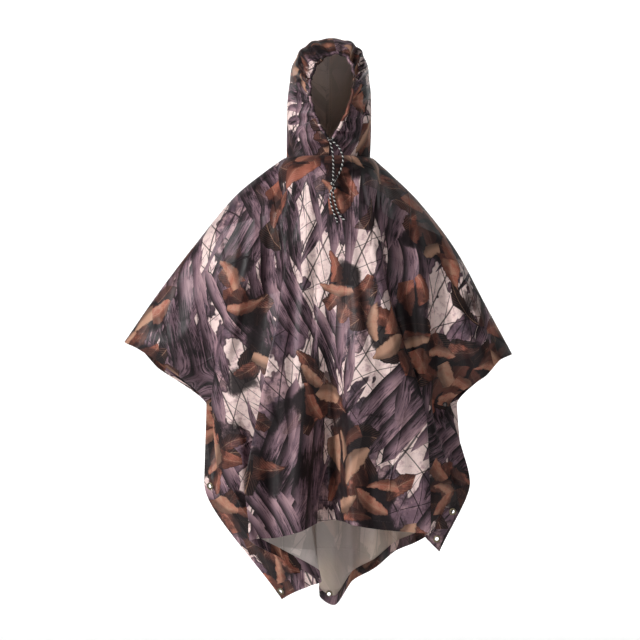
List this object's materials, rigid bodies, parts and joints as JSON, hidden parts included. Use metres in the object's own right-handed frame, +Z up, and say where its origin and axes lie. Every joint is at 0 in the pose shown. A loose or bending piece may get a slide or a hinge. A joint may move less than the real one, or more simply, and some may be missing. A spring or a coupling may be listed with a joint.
{
  "type": "rain poncho",
  "caption": "Hooded camouflage rain poncho, worn open with arms out, closed by underarm snaps, with a drawcord at the hood and metal eyelets along the edges.",
  "frame": {"origin": "middle of the neck seam, level with the top of the shoulders, where the wearer's neck and shoulders carry the poncho", "axes": "+Z up, -Y out of the front, -X to the wearer's right"},
  "size_m": [0.9702, 0.4025, 1.4304],
  "materials": {
    "front_cloth": "coated ripstop polyester with a printed camouflage face",
    "back_cloth": "coated ripstop polyester with a printed camouflage face",
    "hood_cloth_r": "coated ripstop polyester with a printed camouflage face",
    "hood_cloth_l": "coated ripstop polyester with a printed camouflage face",
    "casing_cloth": "coated ripstop polyester with a printed camouflage face",
    "cord_black": "braided black cord with white flecks",
    "snap_metal": "dark plated press stud",
    "eyelet_brass": "dull plated brass"
  },
  "bodies": {
    "root": {"front_panel": "front_cloth", "back_panel": "back_cloth", "hood_right": "hood_cloth_r", "hood_left": "hood_cloth_l", "hood_casing": "casing_cloth", "drawcord_right": "cord_black", "drawcord_left": "cord_black", "snap_right_cap": "snap_metal", "snap_right_stud": "snap_metal", "snap_right_back": "snap_metal", "snap_left_cap": "snap_metal", "snap_left_stud": "snap_metal", "snap_left_back": "snap_metal", "eyelet_corner_right": "eyelet_brass", "eyelet_side_right": "eyelet_brass", "eyelet_corner_left": "eyelet_brass", "eyelet_side_left": "eyelet_brass", "eyelet_back_tip": "eyelet_brass"}
  },
  "joints": []
}
